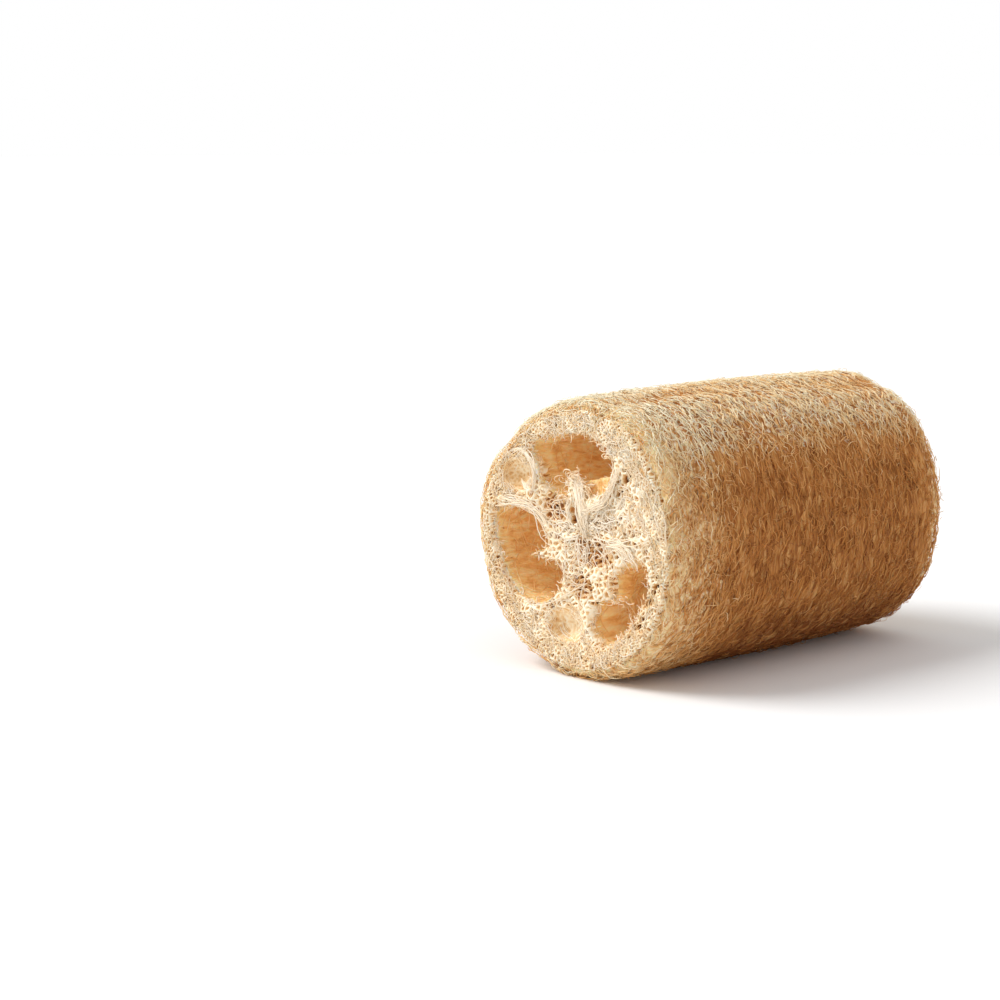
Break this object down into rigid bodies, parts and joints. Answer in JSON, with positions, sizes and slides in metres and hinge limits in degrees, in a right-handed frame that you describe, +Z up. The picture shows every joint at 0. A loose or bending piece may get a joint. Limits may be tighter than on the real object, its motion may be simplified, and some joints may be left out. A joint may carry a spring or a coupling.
{
  "type": "natural loofah sponge",
  "caption": "Short cut length of dried loofah gourd: a light fibre sponge with a raised net outside, a spongy web at the core and lengthwise seed chambers, for scrubbing and bathing",
  "frame": {"origin": "middle of the bounding box's underside, on the surface that the sponge lies on", "axes": "+Z is up as the sponge lies. The long axis is along Y, with the cut end that the picture shows facing -Y, and +X is to the right of someone who faces that end"},
  "size_m": [0.0816, 0.1216, 0.0804],
  "materials": {
    "loofah_fibre": "matte dry plant fibre"
  },
  "bodies": {
    "root": {"loofah_sponge": "loofah_fibre"}
  },
  "joints": []
}
